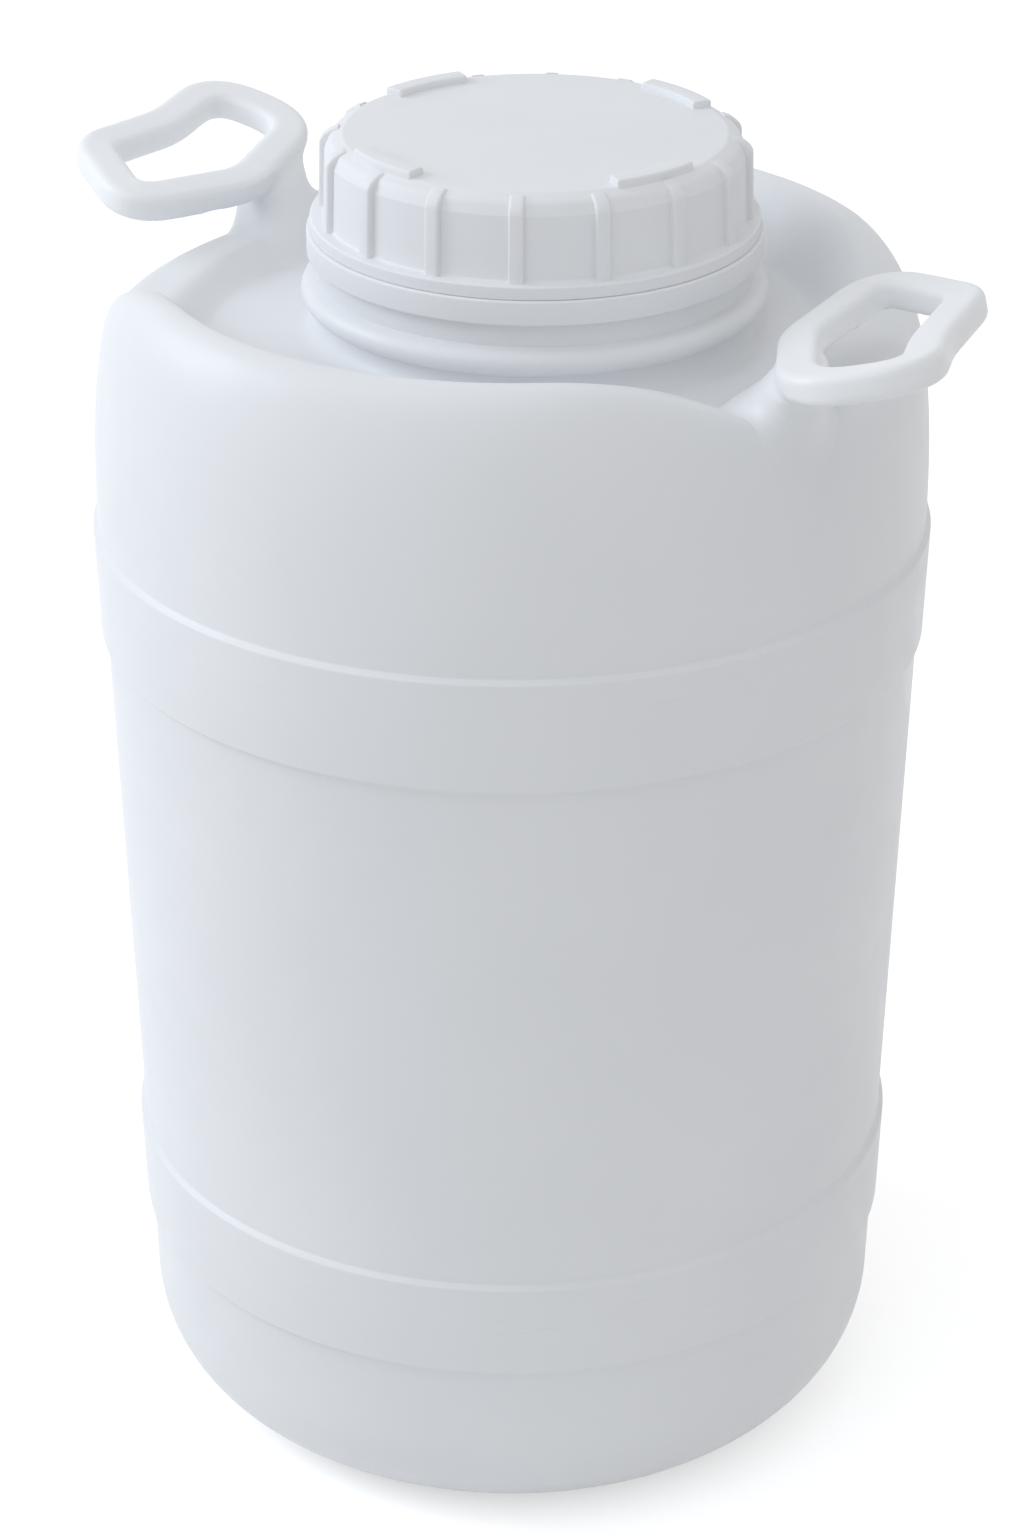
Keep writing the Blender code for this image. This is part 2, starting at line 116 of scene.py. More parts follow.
CAP_RIB_COUNT = 16
CAP_INNER_RADIUS = 0.095
CAP_INNER_TOP = 0.6556
CAP_TOP = 0.6606
CAP_EDGE_RADIUS = 0.008
CAP_CHAMFER_OUT = 0.68 * CAP_EDGE_RADIUS
CAP_CHAMFER_DOWN = 0.33 * CAP_EDGE_RADIUS
CAP_CHAMFER_ROUNDING = 0.005
CAP_SKIRT_DOWN = 1.05 * CAP_EDGE_RADIUS
CAP_SKIRT_ROUNDING = 0.0012
CAP_DISC_RADIUS = 0.089
CAP_DISC_INSET = 0.0005
CAP_DISC_ROUNDING = 0.004
CAP_PHASE = math.radians(-10.25)
LUG_COUNT = 4
LUG_ARC = math.radians(28)
LUG_PHASE = math.radians(-12.5)
LUG_RADIUS = 0.0850
LUG_WIDTH = 0.0095
LUG_HEIGHT = 0.0034
LUG_ROOT = 0.004
LUG_ROUNDING = 0.0012
LUG_SOFTNESS = 0.0009
GASKET_BOTTOM = 0.6526
GASKET_TOP = 0.6553
GASKET_OVERLAP = 0.0015
GASKET_ROUNDING = 0.0005

# Handles: corners of the loop's centre line as (out from the wall, along it, above the well, bend radius)
LOOP_CORNERS = (
    (0.0113, -0.0607, 0.0348, 0.039),
    (-0.0324, 0.0015, 0.0286, 0.045),
    (-0.0398, 0.0727, 0.0343, 0.016),
    (0.0185, 0.0579, 0.0433, 0.020),
    (0.0343, 0.0052, 0.0418, 0.090),
    (0.0575, -0.0368, 0.0472, 0.027),
)
LOOP_TILT = math.radians(16)
LOOP_BEND_SHARE = 0.49
BAR_WIDTH = 0.0196
BAR_THICKNESS = 0.0144
BAR_ROUNDING = 0.0042
POST_TOP = Vector((0.1919, -0.032))
POST_TOP_HALF = Vector((0.0098, 0.021))
POST_FOOT = Vector((0.1699, -0.013))
POST_FOOT_HALF = Vector((0.020, 0.026))
POST_TOP_HEIGHT = 0.6028
POST_DEPTH = 0.060
POST_TURN = math.radians(35)
STEM_SQUARENESS = 0.75
FLARE_FOOT = Vector((0.165, -0.019))
FLARE_FOOT_HALF = Vector((0.024, 0.024))
FLARE_LOW = 0.570
LOBE_START = 0.592
LOBE_END = 0.532
ROOT_DEPTH = 0.0018
ROOT_LIMIT = 0.0013
BAR_UNDERSIDE = 0.599
SEAT_SPREAD = math.radians(21)
SEAT_REACH = 0.060
SEAT_DEPTHS = (0.0004, 0.0024)
SEAT_FIRST_ROW = 6
SOFTENING_SHARE = 0.7
FIRST_SOFTENING = 3
BAR_SOFTENING = 20
SEAT_SOFTENING = 140
SEAT_TOP = 0.590
HANDLE_VOXEL = 0.0011
HANDLES = (
    ("right_loop", "right_handle", 0.0, (0.0, 0.0, 0.0)),
    ("left_loop", "left_handle", math.radians(166.7), (-0.0112, -0.0341, 0.0)),
)

# Plastic
SHELL_COLOUR = (0.80, 0.812, 0.83)
SHELL_SHADE = (0.775, 0.788, 0.808)
# Painted highlight: a lighter colour painted on the loops from their underside up, for the light they catch
LOOP_HIGHLIGHT_COLOUR = (0.855, 0.867, 0.883)
LOOP_HIGHLIGHT_START = 0.580
LOOP_HIGHLIGHT_END = 0.600
CAP_COLOUR = (0.81, 0.82, 0.838)
CAP_SHADE = (0.79, 0.80, 0.818)
SCUFF_COLOUR = (0.745, 0.757, 0.775)
SCUFF_EDGE = 0.006
SHELL_ROUGHNESS = 0.42
HANDLE_ROUGHNESS = 0.41
CAP_ROUGHNESS = 0.56
SHELL_GRAIN = 0.10
CAP_GRAIN = 0.08
SHELL_FLOW_LINES = 0.10

# Camera and light
CAMERA_TURN = math.radians(40)
CAMERA_DISTANCE = 1.7568
CAMERA_HEIGHT = 1.2207
CAMERA_PITCH = math.radians(26.807)
CAMERA_LENS = 93.06
FLOOR_GLOW = 0.45
ROOM_LIGHT = 0.655
KEY_LIGHT = 25.0
LIGHT_COLOUR = (0.82, 0.90, 1.0)
KEY_SIZE = 1.3
KEY_DISTANCE = 2.6
KEY_SIDE = math.radians(97)
KEY_RISE = math.radians(29)
LIGHT_TARGET_HEIGHT = 0.35
TOP_LIGHT = 8.5
TOP_SIZE = 1.6
TOP_HEIGHT = 2.7
TOP_LEFT = 0.6
TOP_NEAR = 1.0
FLOOR_HALF_SIZE = 14.0

SEGMENTS = 288


def moulded_plastic(name, colour, shade, roughness, grain, streaks=0.0, scuffed_bands=(), painted_highlight=None):
    """White polyethylene: faint clouds and fine grain, with flow lines, scuffs or a top painted lighter as a
    painted highlight, if given.
    """
    material = bpy.data.materials.new(name)
    material.use_nodes = True
    nodes = material.node_tree.nodes
    links = material.node_tree.links
    shader = nodes["Principled BSDF"]
    shader.inputs["IOR"].default_value = 1.52
    shader.inputs["Specular IOR Level"].default_value = 0.32
    place = nodes.new("ShaderNodeTexCoord").outputs["Object"]

    cloud = nodes.new("ShaderNodeTexNoise")
    cloud.inputs["Scale"].default_value = 9.0
    cloud.inputs["Detail"].default_value = 4.0
    links.new(place, cloud.inputs["Vector"])
    tint = nodes.new("ShaderNodeValToRGB")
    tint.color_ramp.elements[0].position = 0.32
    tint.color_ramp.elements[0].color = (*shade, 1.0)
    tint.color_ramp.elements[1].position = 0.68
    tint.color_ramp.elements[1].color = (*colour, 1.0)
    links.new(cloud.outputs["Fac"], tint.inputs["Fac"])
    surface_colour = tint.outputs["Color"]

    speckle = nodes.new("ShaderNodeTexNoise")
    speckle.inputs["Scale"].default_value = 55.0
    speckle.inputs["Detail"].default_value = 6.0
    links.new(place, speckle.inputs["Vector"])
    gloss = nodes.new("ShaderNodeMapRange")
    gloss.inputs["From Min"].default_value = 0.3
    gloss.inputs["From Max"].default_value = 0.7
    gloss.inputs["To Min"].default_value = roughness - 0.05
    gloss.inputs["To Max"].default_value = roughness + 0.06
    links.new(speckle.outputs["Fac"], gloss.inputs["Value"])
    surface_gloss = gloss.outputs["Result"]

    # Painted highlight: the upper part painted lighter, for the light it catches
    if painted_highlight is not None:
        surface_colour = add_painted_highlight_top(nodes, links, place, surface_colour, painted_highlight)
    for low, high in scuffed_bands:
        scuffed = add_scuffs(nodes, links, place, low, high, surface_colour, surface_gloss)
        surface_colour, surface_gloss = scuffed

    fine = nodes.new("ShaderNodeTexNoise")
    fine.inputs["Scale"].default_value = 620.0
    fine.inputs["Detail"].default_value = 2.0
    links.new(place, fine.inputs["Vector"])
    relief = nodes.new("ShaderNodeBump")
    relief.inputs["Strength"].default_value = grain
    relief.inputs["Distance"].default_value = 0.0003
    links.new(fine.outputs["Fac"], relief.inputs["Height"])
    normal = relief.outputs["Normal"]
    if streaks > 0.0:
        normal = add_flow_lines(nodes, links, place, streaks, normal)

    links.new(surface_colour, shader.inputs["Base Color"])
    links.new(surface_gloss, shader.inputs["Roughness"])
    links.new(normal, shader.inputs["Normal"])
    return material


def add_flow_lines(nodes, links, place, strength, normal):
    """Long upright waves, as a blown skin shows where the hot tube stretched."""
    stretch = nodes.new("ShaderNodeMapping")
    stretch.inputs["Scale"].default_value = (38.0, 38.0, 1.6)
    links.new(place, stretch.inputs["Vector"])
    lines = nodes.new("ShaderNodeTexNoise")
    lines.inputs["Scale"].default_value = 1.0
    lines.inputs["Detail"].default_value = 2.5
    links.new(stretch.outputs["Vector"], lines.inputs["Vector"])
    waves = nodes.new("ShaderNodeBump")
    waves.inputs["Strength"].default_value = strength
    waves.inputs["Distance"].default_value = 0.0012
    links.new(lines.outputs["Fac"], waves.inputs["Height"])
    links.new(normal, waves.inputs["Normal"])
    return waves.outputs["Normal"]


def add_painted_highlight_top(nodes, links, place, colour, painted_highlight):
    """Painted highlight: the loop painted lighter from its underside up, for the light its upper part
    catches, fading into the root's colour below.
    """
    split = nodes.new("ShaderNodeSeparateXYZ")
    links.new(place, split.inputs["Vector"])
    rise = nodes.new("ShaderNodeMapRange")
    rise.interpolation_type = "SMOOTHSTEP"
    rise.inputs["From Min"].default_value = LOOP_HIGHLIGHT_START
    rise.inputs["From Max"].default_value = LOOP_HIGHLIGHT_END
    links.new(split.outputs["Z"], rise.inputs["Value"])
    mixed = nodes.new("ShaderNodeMix")
    mixed.data_type = "RGBA"
    mixed.inputs["B"].default_value = (*painted_highlight, 1.0)
    links.new(rise.outputs["Result"], mixed.inputs["Factor"])
    links.new(colour, mixed.inputs["A"])
    return mixed.outputs["Result"]


def add_scuffs(nodes, links, place, low, high, colour, gloss):
    """Fine handling marks on a hoop, between two heights, where the drum is rolled."""
    split = nodes.new("ShaderNodeSeparateXYZ")
    links.new(place, split.inputs["Vector"])
    centred = nodes.new("ShaderNodeMath")
    centred.operation = "SUBTRACT"
    centred.inputs[1].default_value = 0.5 * (low + high)
    links.new(split.outputs["Z"], centred.inputs[0])
    away = nodes.new("ShaderNodeMath")
    away.operation = "ABSOLUTE"
    links.new(centred.outputs[0], away.inputs[0])
    inside = nodes.new("ShaderNodeMapRange")
    inside.inputs["From Min"].default_value = 0.5 * (high - low)
    inside.inputs["From Max"].default_value = 0.5 * (high - low) - SCUFF_EDGE
    links.new(away.outputs[0], inside.inputs["Value"])
    stretch = nodes.new("ShaderNodeMapping")
    stretch.inputs["Scale"].default_value = (24.0, 24.0, 420.0)
    links.new(place, stretch.inputs["Vector"])
    marks = nodes.new("ShaderNodeTexNoise")
    marks.inputs["Scale"].default_value = 1.0
    marks.inputs["Detail"].default_value = 5.0
    links.new(stretch.outputs["Vector"], marks.inputs["Vector"])
    sparse = nodes.new("ShaderNodeMapRange")
    sparse.inputs["From Min"].default_value = 0.62
    sparse.inputs["From Max"].default_value = 0.90
    links.new(marks.outputs["Fac"], sparse.inputs["Value"])
    amount = nodes.new("ShaderNodeMath")
    amount.operation = "MULTIPLY"
    links.new(inside.outputs["Result"], amount.inputs[0])
    links.new(sparse.outputs["Result"], amount.inputs[1])
    darker = nodes.new("ShaderNodeMix")
    darker.data_type = "RGBA"
    darker.inputs["B"].default_value = (*SCUFF_COLOUR, 1.0)
    links.new(amount.outputs[0], darker.inputs["Factor"])
    links.new(colour, darker.inputs["A"])
    rougher = nodes.new("ShaderNodeMath")
    rougher.operation = "MULTIPLY_ADD"
    rougher.inputs[1].default_value = 0.08
    links.new(amount.outputs[0], rougher.inputs[0])
    links.new(gloss, rougher.inputs[2])
    return darker.outputs["Result"], rougher.outputs[0]


def foam_rubber(name):
    """Grey closed-cell gasket foam with small pores."""
    material = bpy.data.materials.new(name)
    material.use_nodes = True
    nodes = material.node_tree.nodes
    links = material.node_tree.links
    shader = nodes["Principled BSDF"]
    shader.inputs["IOR"].default_value = 1.48
    place = nodes.new("ShaderNodeTexCoord").outputs["Object"]
    pores = nodes.new("ShaderNodeTexVoronoi")
    pores.inputs["Scale"].default_value = 900.0
    links.new(place, pores.inputs["Vector"])
    tint = nodes.new("ShaderNodeValToRGB")
    tint.color_ramp.elements[0].color = (0.24, 0.245, 0.25, 1.0)
    tint.color_ramp.elements[1].position = 0.55
    tint.color_ramp.elements[1].color = (0.37, 0.38, 0.39, 1.0)
    links.new(pores.outputs["Distance"], tint.inputs["Fac"])
    dull = nodes.new("ShaderNodeMapRange")
    dull.inputs["To Min"].default_value = 0.78
    dull.inputs["To Max"].default_value = 0.62
    links.new(pores.outputs["Distance"], dull.inputs["Value"])
    relief = nodes.new("ShaderNodeBump")
    relief.inputs["Strength"].default_value = 0.35
    relief.inputs["Distance"].default_value = 0.0004
    links.new(pores.outputs["Distance"], relief.inputs["Height"])
    links.new(tint.outputs["Color"], shader.inputs["Base Color"])
    links.new(dull.outputs["Result"], shader.inputs["Roughness"])
    links.new(relief.outputs["Normal"], shader.inputs["Normal"])
    return material


def add_piece(name, mesh, material, body, stands_for=None):
    mesh.materials.clear()
    mesh.materials.append(material)
    mesh.shade_smooth()
    mesh.set_sharp_from_angle(angle=math.radians(40))
    piece = bpy.data.objects.new(name, mesh)
    bpy.context.scene.collection.objects.link(piece)
    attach(piece, body)
    if stands_for is not None:
        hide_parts(stands_for)
    return piece


def mesh_from_rows(name, rows):
    """Skin rows of points, each row a full turn. The first and last row may be a single pole."""
    points = []
    starts = []
    for row in rows:
        starts.append(len(points))
        points.extend(row)
    faces = []
    for k in range(len(rows) - 1):
        low, high = rows[k], rows[k + 1]
        a, b = starts[k], starts[k + 1]
        count = max(len(low), len(high))
        for j in range(count):
            n = (j + 1) % count
            if len(low) == 1:
                faces.append((a, b + n, b + j))
            elif len(high) == 1:
                faces.append((a + j, a + n, b))
            else:
                faces.append((a + j, a + n, b + n, b + j))
    mesh = bpy.data.meshes.new(name)
    mesh.from_pydata([tuple(p) for p in points], [], faces)
    return point_faces_out(mesh)


def point_faces_out(mesh):
    shape = bmesh.new()
    shape.from_mesh(mesh)
    bmesh.ops.recalc_face_normals(shape, faces=shape.faces)
    shape.to_mesh(mesh)
    shape.free()
    return mesh


def turn_row(radius, height, axis, segments=SEGMENTS):
    if radius < 1e-9:
        return [axis + Vector((0.0, 0.0, height))]
    row = []
    for k in range(segments):
        a = 2.0 * math.pi * k / segments
        row.append(axis + Vector((radius * math.cos(a), radius * math.sin(a), height)))
    return row


def rounded(points, steps=4):
    """A line of (radius, height, rounding) corners as (radius, height) points with rounded corners."""
    line = []
    for k, (r, z, rounding) in enumerate(points):
        if rounding <= 0.0 or k in (0, len(points) - 1):
            line.append((r, z))
            continue
        here = Vector((r, z))
        back = (Vector(points[k - 1][:2]) - here).normalized()
        ahead = (Vector(points[k + 1][:2]) - here).normalized()
        half = 0.5 * back.angle(ahead)
        reach = rounding / math.tan(half)
        middle = here + (back + ahead).normalized() * (rounding / math.sin(half))
        start = here + back * reach - middle
        end = here + ahead * reach - middle
        for j in range(steps + 1):
            direction = start.lerp(end, j / steps).normalized()
            line.append(tuple(middle + direction * rounding))
    return line


def turned_piece(name, corners, axis, steps=4):
    rows = [turn_row(r, z, axis) for r, z in rounded(corners, steps)]
    return mesh_from_rows(name, rows)


def turned_ring(name, corners, axis):
    """A closed section turned about an axis."""
    line = rounded(corners + corners[:1])[:-1]
    rows = [turn_row(r, z, axis) for r, z in line]
    return closed_rows(name, rows)


def closed_rows(name, rows):
    count = len(rows[0])
    total = len(rows)
    faces = []
    for k in range(total):
        m = (k + 1) % total
        for j in range(count):
            n = (j + 1) % count
            faces.append((k * count + j, k * count + n, m * count + n, m * count + j))
    mesh = bpy.data.meshes.new(name)
    mesh.from_pydata([tuple(p) for row in rows for p in row], [], faces)
    return point_faces_out(mesh)


def smooth_step(share):
    share = min(max(share, 0.0), 1.0)
    return share * share * (3.0 - 2.0 * share)


def smooth_min(a, b, blend):
    share = max(blend - abs(a - b), 0.0) / blend
    return min(a, b) - share * share * blend * 0.25


def soft_ramp(distance, blend):
    """Zero below the origin and the distance above it, with a rounded bend between the two."""
    if abs(distance) < blend:
        return (distance + blend) ** 2 / (4.0 * blend)
    return max(distance, 0.0)


def wall_radius(height):
    share = (height - BASE_CORNER_RADIUS) / (SHOULDER_HEIGHT - BASE_CORNER_RADIUS)
    return WALL_BOTTOM_RADIUS + (WALL_TOP_RADIUS - WALL_BOTTOM_RADIUS) * share


def notch_height(x, y):
    """Height of the notch surfaces over a point of the shoulder."""
    lowest = CREST_HEIGHT + 1.0
    for turn in (0.0, math.pi):
        direction = NOTCH_DIRECTION + turn
        out = x * math.cos(direction) + y * math.sin(direction)
        side = abs(y * math.cos(direction) - x * math.sin(direction))
        if out > 0.0:
            floor = WELL_HEIGHT + NOTCH_SILL - math.tan(NOTCH_FALL) * (out - CREST_RADIUS)
            rise = soft_ramp(side - NOTCH_HALF_WIDTH, NOTCH_CORNER) * math.tan(NOTCH_SIDE_SLOPE)
            lowest = min(lowest, floor + rise)
    return lowest


def ring_height(radius):
    """Height of the shoulder over a radius, before the notches are cut."""
    if radius > CREST_RADIUS:
        share = min((radius - CREST_RADIUS) / (WALL_TOP_RADIUS - CREST_RADIUS), 1.0)
        rise = (1.0 - share ** SHOULDER_FULLNESS) ** (1.0 / SHOULDER_FULLNESS)
        return SHOULDER_HEIGHT + (CREST_HEIGHT - SHOULDER_HEIGHT) * rise
    share = (CREST_RADIUS - radius) / RING_INNER_WIDTH
    return CREST_HEIGHT - (CREST_HEIGHT - WELL_HEIGHT) * smooth_step(share)


def shoulder_height(x, y):
    return smooth_min(ring_height(math.hypot(x, y)), notch_height(x, y), NOTCH_BLEND)


def dome_radius(height):
    """Radius of the dome's outside at a height, before the notches are cut."""
    share = min(max((height - SHOULDER_HEIGHT) / (CREST_HEIGHT - SHOULDER_HEIGHT), 0.0), 1.0)
    reach = (1.0 - share ** SHOULDER_FULLNESS) ** (1.0 / SHOULDER_FULLNESS)
    return CREST_RADIUS + (WALL_TOP_RADIUS - CREST_RADIUS) * reach


def above_skin(point):
    """Distance of a point above the drum's shoulder, measured square to it."""
    step = 0.001
    height = shoulder_height(point.x, point.y)
    slope_x = (shoulder_height(point.x + step, point.y) - height) / step
    slope_y = (shoulder_height(point.x, point.y + step) - height) / step
    return (point.z - height) / math.sqrt(1.0 + slope_x ** 2 + slope_y ** 2)


def wall_corners():
    """Base, corner and hooped wall as (radius, height, rounding)."""
    flat = WALL_BOTTOM_RADIUS - BASE_CORNER_RADIUS
    corners = [(0.0, 0.0, 0.0), (flat * BASE_RING_SHARE, 0.0, 0.0)]
    steps = 20
    for k in range(steps + 1):
        a = 0.5 * math.pi * k / steps
        r = flat + BASE_CORNER_RADIUS * math.sin(a)
        corners.append((r, BASE_CORNER_RADIUS * (1.0 - math.cos(a)), 0.0))
    for bottom, top in HOOPS:
        corners.append((wall_radius(bottom), bottom, HOOP_ROUNDING))
        corners.append((wall_radius(bottom) + HOOP_PROUD, bottom + HOOP_STEP, HOOP_ROUNDING))
        corners.append((wall_radius(top) + HOOP_PROUD, top - HOOP_STEP, HOOP_ROUNDING))
        corners.append((wall_radius(top), top, HOOP_ROUNDING))
    last = SHOULDER_HEIGHT - SHOULDER_LEAD
    corners.append((wall_radius(last), last, 0.0))
    return corners


def shoulder_line(depth):
    """The shoulder from the wall over the crest to the sunken floor, pushed in by a depth."""
    line = []
    steps = 48
    power = 2.0 / SHOULDER_FULLNESS
    for k in range(steps + 1):
        a = 0.5 * math.pi * k / steps
        r = CREST_RADIUS + (WALL_TOP_RADIUS - depth - CREST_RADIUS) * max(math.cos(a), 0.0) ** power
        line.append((r, SHOULDER_HEIGHT + (CREST_HEIGHT - depth - SHOULDER_HEIGHT) * math.sin(a) ** power))
    steps = 26
    for k in range(1, steps + 1):
        share = k / steps
        z = CREST_HEIGHT - depth - (CREST_HEIGHT - WELL_HEIGHT) * smooth_step(share)
        line.append((CREST_RADIUS - RING_INNER_WIDTH * share, z))
    return line


def shoulder_point(radius, height, angle, depth):
    x = radius * math.cos(angle)
    y = radius * math.sin(angle)
    return Vector((x, y, smooth_min(height, notch_height(x, y) - depth, NOTCH_BLEND)))


def shoulder_row(radius, height, depth):
    return [shoulder_point(radius, height, 2.0 * math.pi * k / SEGMENTS, depth) for k in range(SEGMENTS)]


def neck_corners():
    """Root, bead, collar, thread cylinder, rim and bore, as (radius, height, rounding)."""
    waist = NECK_COLLAR_RADIUS - NECK_WALL
    bulge = NECK_BEAD_RADIUS - NECK_COLLAR_RADIUS
    corners = [(NECK_COLLAR_RADIUS + NECK_ROOT_REACH, WELL_HEIGHT, 0.0)]
    corners.append((NECK_COLLAR_RADIUS + NECK_ROOT_DRAFT, WELL_HEIGHT, NECK_ROOT_FILLET))
    corners.append((NECK_COLLAR_RADIUS, BEAD_BOTTOM - BEAD_LOW_EDGE, 0.0))
    steps = 12
    for k in range(1, steps):
        a = math.pi * k / steps
        z = BEAD_BOTTOM + (BEAD_TOP - BEAD_BOTTOM) * 0.5 * (1.0 - math.cos(a))
        corners.append((NECK_COLLAR_RADIUS + bulge * math.sin(a), z, 0.0))
    corners.append((NECK_COLLAR_RADIUS, BEAD_TOP + BEAD_HIGH_EDGE, 0.0))
    corners.append((NECK_COLLAR_RADIUS, COLLAR_TOP, COLLAR_ROUNDING))
    corners.append((NECK_RADIUS, COLLAR_TOP, COLLAR_ROUNDING))
    corners.append((NECK_RADIUS, RIM_HEIGHT, RIM_OUTER_ROUNDING))
    corners.append((NECK_BORE, RIM_HEIGHT, RIM_INNER_ROUNDING))
    corners.append((NECK_BORE, COLLAR_TOP, BORE_ROUNDING))
    corners.append((waist, COLLAR_TOP - BORE_SHELF_DROP, BORE_ROUNDING))
    corners.append((waist, WELL_HEIGHT - WALL, NECK_UNDER_ROUNDING))
    corners.append((NECK_COLLAR_RADIUS + NECK_ROOT_REACH, WELL_HEIGHT - WALL, 0.0))
    return corners


def make_drum_skin(material):
    middle = Vector((0.0, 0.0, 0.0))
    outside = [turn_row(r, z, middle) for r, z in rounded(wall_corners())]
    shoulder = [shoulder_row(r, z, 0.0) for r, z in shoulder_line(0.0)]
    neck = [turn_row(r, z, NECK_AXIS) for r, z in rounded(neck_corners(), 6)]
    under = [shoulder_row(r, z, WALL) for r, z in reversed(shoulder_line(WALL)[::2])]
    inside = []
    flat = WALL_BOTTOM_RADIUS - BASE_CORNER_RADIUS
    corner = BASE_CORNER_RADIUS - WALL
    steps = 12
    for k in range(steps, -1, -1):
        a = 0.5 * math.pi * k / steps
        height = BASE_CORNER_RADIUS - corner * math.cos(a)
        inside.append(turn_row(flat + corner * math.sin(a), height, middle))
    inside.append(turn_row(0.0, WALL, middle))
    mesh = mesh_from_rows("drum_skin", outside + shoulder + neck + under + inside)
    return add_piece("drum_skin", mesh, material, "drum", "drum_body")


def input_socket(tree, name, kind, value):
    """Add a named input to a node tree and return its identifier."""
    socket = tree.interface.new_socket(name=name, in_out="INPUT", socket_type=kind)
    if value is not None:
        socket.default_value = value
    return socket.identifier


def add_inputs(tree, numbers):
    """Add a named input for each number, and one for the material, and return their identifiers."""
    ids = {}
    for name, value in numbers.items():
        kind = "NodeSocketInt" if isinstance(value, int) else "NodeSocketFloat"
        ids[name] = input_socket(tree, name, kind, value)
    ids["Material"] = input_socket(tree, "Material", "NodeSocketMaterial", None)
    return ids


def start_tree(name):
    tree = bpy.data.node_groups.new(name, "GeometryNodeTree")
    tree.interface.new_socket(name="Geometry", in_out="INPUT", socket_type="NodeSocketGeometry")
    tree.interface.new_socket(name="Geometry", in_out="OUTPUT", socket_type="NodeSocketGeometry")
    return tree, tree.nodes.new("NodeGroupInput"), tree.nodes.new("NodeGroupOutput")


def finish_tree(tree, given, result, shape):
    """Realize the instances, set the material and hand the shape out."""
    real = tree.nodes.new("GeometryNodeRealizeInstances")
    painted = tree.nodes.new("GeometryNodeSetMaterial")
    tree.links.new(shape, real.inputs["Geometry"])
    tree.links.new(real.outputs["Geometry"], painted.inputs["Geometry"])
    tree.links.new(given.outputs["Material"], painted.inputs["Material"])
    tree.links.new(painted.outputs["Geometry"], result.inputs["Geometry"])


def carrier_of(name, mesh):
    """A passing object that holds a mesh while a modifier works on it."""
    carrier = bpy.data.objects.new(name + "_carrier", mesh)
    bpy.context.scene.collection.objects.link(carrier)
    return carrier


def plain_mesh(name, carrier, step):
    """The carrier's mesh as its modifier leaves it. The modifier and the carrier are removed."""
    depsgraph = bpy.context.evaluated_depsgraph_get()
    mesh = bpy.data.meshes.new_from_object(carrier.evaluated_get(depsgraph), depsgraph=depsgraph)
    mesh.name = name
    carrier.modifiers.remove(step)
    bpy.data.objects.remove(carrier, do_unlink=True)
    return mesh


def grown_mesh(name, tree, values, start_mesh=None):
    """Run a node tree with its inputs set and return the result as a plain mesh."""
    carrier = carrier_of(name, start_mesh or bpy.data.meshes.new(name + "_start"))
    step = carrier.modifiers.new("grow", "NODES")
    step.node_group = tree
    for identifier, value in values.items():
        step[identifier] = value
    carrier.update_tag()
    bpy.context.view_layer.update()
    return plain_mesh(name, carrier, step)


def rounded_section(tree, given, width_name, height_name, rounding_name):
    """A rounded rectangle curve from three named inputs."""
    section = tree.nodes.new("GeometryNodeCurvePrimitiveQuadrilateral")
    soften = tree.nodes.new("GeometryNodeFilletCurve")
    soften.mode = "POLY"
    soften.inputs["Count"].default_value = 4
    tree.links.new(given.outputs[width_name], section.inputs["Width"])
    tree.links.new(given.outputs[height_name], section.inputs["Height"])
    tree.links.new(section.outputs["Curve"], soften.inputs["Curve"])
    tree.links.new(given.outputs[rounding_name], soften.inputs["Radius"])
    return soften.outputs["Curve"]


def copies_round_circle(tree, given, shape):
    """Copies of a shape turned evenly about the vertical axis, from the inputs Count and Phase."""
    spots = tree.nodes.new("GeometryNodePoints")
    number = tree.nodes.new("GeometryNodeInputIndex")
    share = tree.nodes.new("ShaderNodeMath")
    share.operation = "DIVIDE"
    angle = tree.nodes.new("ShaderNodeMath")
    angle.operation = "MULTIPLY_ADD"
    angle.inputs[1].default_value = 2.0 * math.pi
    turn = tree.nodes.new("ShaderNodeCombineXYZ")
    copies = tree.nodes.new("GeometryNodeInstanceOnPoints")
    tree.links.new(given.outputs["Count"], spots.inputs["Count"])
    tree.links.new(number.outputs["Index"], share.inputs[0])
    tree.links.new(given.outputs["Count"], share.inputs[1])
    tree.links.new(share.outputs[0], angle.inputs[0])
    tree.links.new(given.outputs["Phase"], angle.inputs[2])
    tree.links.new(angle.outputs[0], turn.inputs["Z"])
    tree.links.new(spots.outputs["Points"], copies.inputs["Points"])
    tree.links.new(shape, copies.inputs["Instance"])
    tree.links.new(turn.outputs["Vector"], copies.inputs["Rotation"])
    return copies.outputs["Instances"]


def swept_bar(tree, given, closed):
    """A rounded section swept along the given path, whose points carry their own normals."""
    path = tree.nodes.new("GeometryNodeMeshToCurve")
    normals = tree.nodes.new("GeometryNodeInputNamedAttribute")
    normals.data_type = "FLOAT_VECTOR"
    normals.inputs["Name"].default_value = "bar_normal"
    upright = tree.nodes.new("GeometryNodeSetCurveNormal")
    upright.mode = "FREE"
    sweep = tree.nodes.new("GeometryNodeCurveToMesh")
    sweep.inputs["Fill Caps"].default_value = not closed
    section = rounded_section(tree, given, "Depth", "Width", "Rounding")
    tree.links.new(given.outputs["Geometry"], path.inputs["Mesh"])
    tree.links.new(path.outputs["Curve"], upright.inputs["Curve"])
    tree.links.new(normals.outputs["Attribute"], upright.inputs["Normal"])
    tree.links.new(upright.outputs["Curve"], sweep.inputs["Curve"])
    tree.links.new(section, sweep.inputs["Profile Curve"])
    return sweep.outputs["Mesh"]


